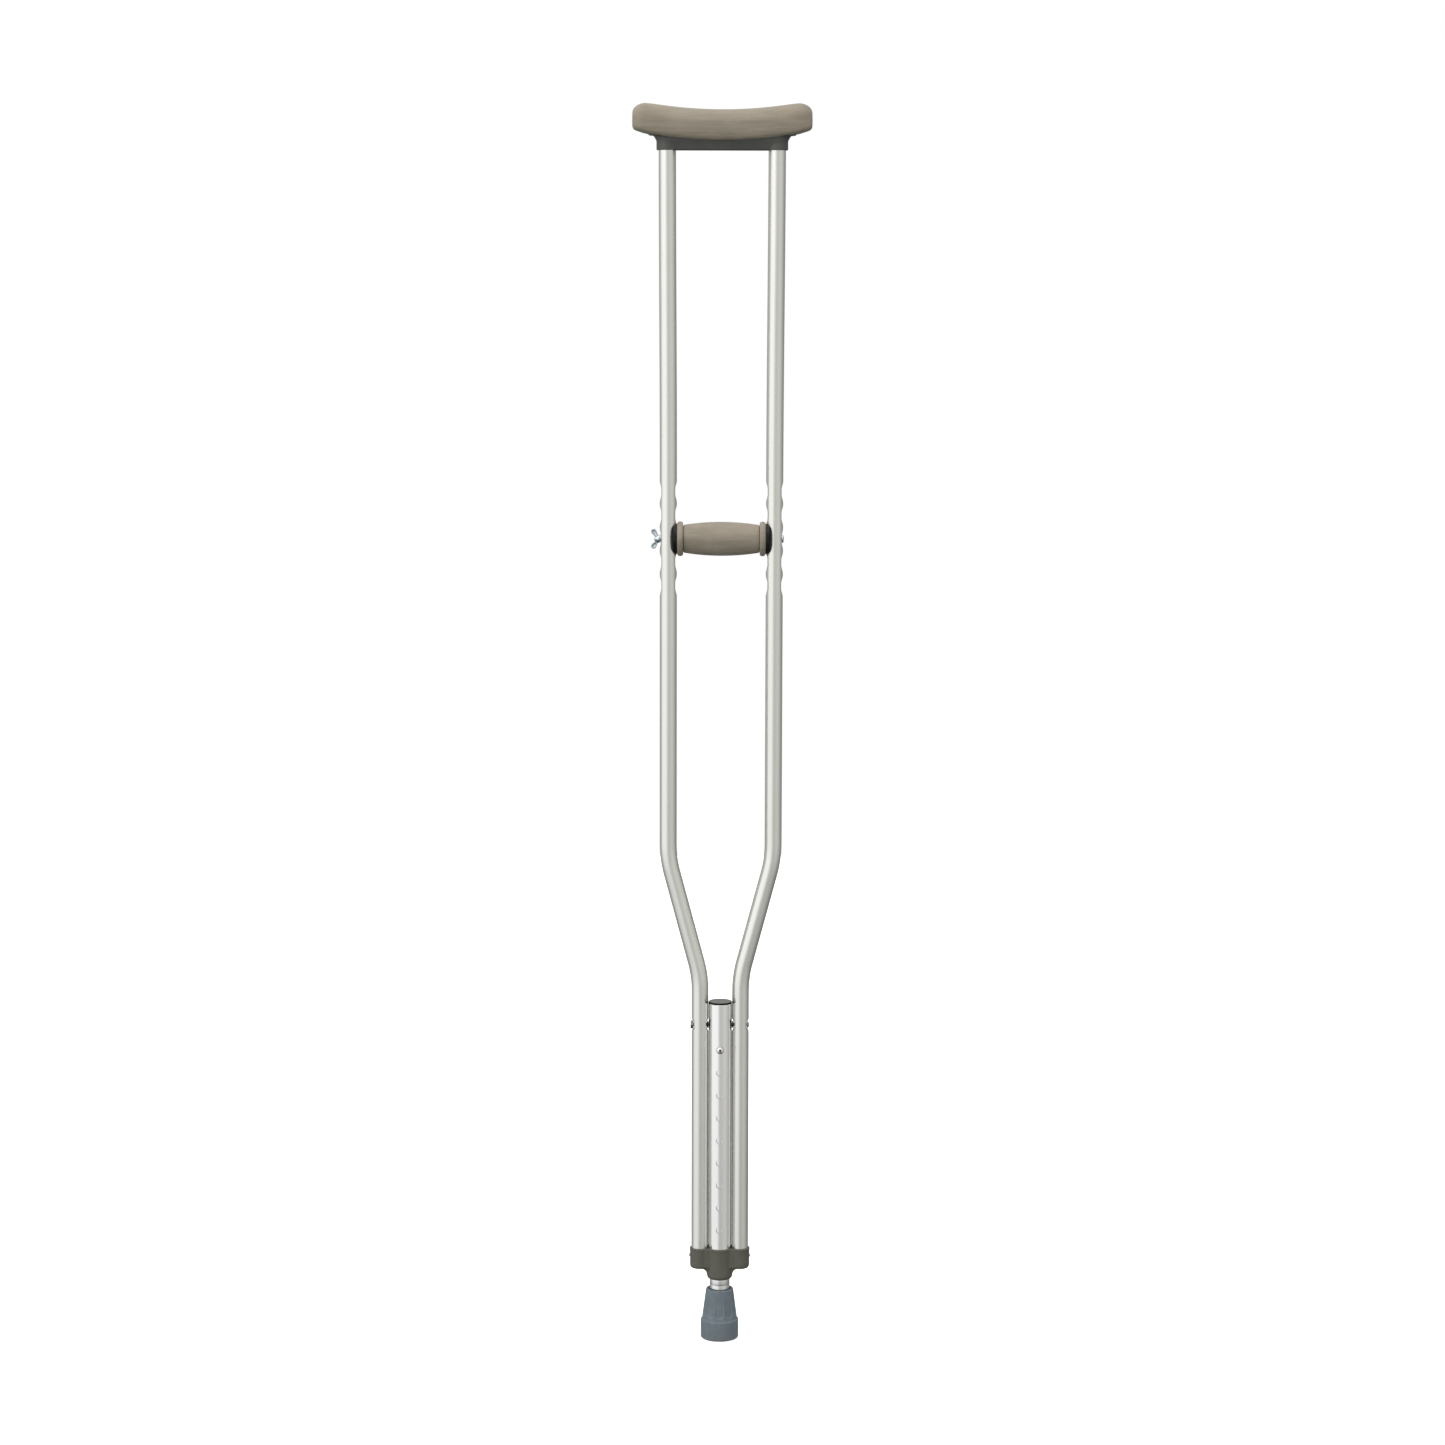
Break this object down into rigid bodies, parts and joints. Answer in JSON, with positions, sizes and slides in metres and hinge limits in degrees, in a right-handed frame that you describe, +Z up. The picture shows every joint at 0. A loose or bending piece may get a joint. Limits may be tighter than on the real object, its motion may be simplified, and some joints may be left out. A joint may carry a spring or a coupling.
{
  "type": "underarm crutch",
  "caption": "Underarm crutch: two bent side tubes, padded saddle, bolted handgrip, telescoping leg with snap buttons and a row of height holes, and a fluted rubber tip.",
  "frame": {"origin": "middle of the rubber tip's sole, which is the bottom centre of the box", "axes": "+Z up along the leg, -Y the front with the snap button showing, +X towards the bolt heads, away from the wing nut"},
  "size_m": [0.1926, 0.042, 1.3527],
  "materials": {
    "cushion_foam": "matte moulded foam",
    "sleeve_foam": "matte moulded foam",
    "saddle_plastic": "moulded",
    "collar_plastic": "moulded",
    "core_plastic": "moulded",
    "satin_aluminium": "satin anodised",
    "bright_aluminium": "bright anodised",
    "rivet_aluminium": "plain",
    "zinc_steel": "zinc plated",
    "spring_steel": "plain",
    "button_chrome": "polished",
    "tip_rubber": "matte rubber"
  },
  "bodies": {
    "crutch_frame": {"side_tube_left": "satin_aluminium", "side_tube_right": "satin_aluminium", "underarm_saddle": "saddle_plastic", "underarm_cushion": "cushion_foam", "saddle_rivet_left": "rivet_aluminium", "saddle_rivet_right": "rivet_aluminium", "grip_core": "core_plastic", "grip_sleeve": "sleeve_foam", "center_tube": "bright_aluminium", "center_tube_cap": "core_plastic", "cross_bolt": "zinc_steel", "cross_nut": "zinc_steel", "cross_spacer_left": "core_plastic", "cross_spacer_right": "core_plastic", "bottom_collar": "collar_plastic", "collar_rivet_left": "rivet_aluminium", "collar_rivet_right": "rivet_aluminium"},
    "leg": {"extension_tube": "bright_aluminium", "rubber_tip": "tip_rubber", "tip_washer": "spring_steel", "snap_button_spring": "spring_steel"},
    "front_button": {"snap_button_front": "button_chrome"},
    "back_button": {"snap_button_back": "button_chrome"},
    "handgrip_bolt": {"grip_bolt": "zinc_steel"},
    "nut_washer": {"grip_washer": "zinc_steel"},
    "handgrip_nut": {"wing_nut": "zinc_steel"}
  },
  "joints": [
    {"name": "leg_slide", "type": "slide", "parent": "crutch_frame", "child": "leg", "axis": [0, 0, -1], "range_m": [0, 0.2032], "deforming": ["snap_button_spring", "snap_button_front", "snap_button_back"]},
    {"name": "front_button_press", "type": "slide", "parent": "leg", "child": "front_button", "axis": [0, 1, 0], "range_m": [0, 0.0042], "stiffness_N_per_m": 1500, "springref_m": -0.003, "deforming": ["snap_button_spring"]},
    {"name": "back_button_press", "type": "slide", "parent": "leg", "child": "back_button", "axis": [0, -1, 0], "range_m": [0, 0.0042], "stiffness_N_per_m": 1500, "springref_m": -0.003, "deforming": ["snap_button_spring"]},
    {"name": "grip_bolt_withdraw", "type": "slide", "parent": "crutch_frame", "child": "handgrip_bolt", "axis": [1, 0, 0], "range_m": [0, 0.145]},
    {"name": "nut_washer_run", "type": "slide", "parent": "crutch_frame", "child": "nut_washer", "axis": [-1, 0, 0], "range_m": [0, 0.0064]},
    {"name": "wing_nut_spin", "type": "hinge", "parent": "nut_washer", "child": "handgrip_nut", "pos_m": [-0.0667, 0, 0.8893], "axis": [-1, 0, 0], "range_deg": [0, 2160]}
  ],
  "couplings": [
    {"joint": "nut_washer_run", "follows": "wing_nut_spin", "m_per_rad": 0.00016839}
  ]
}
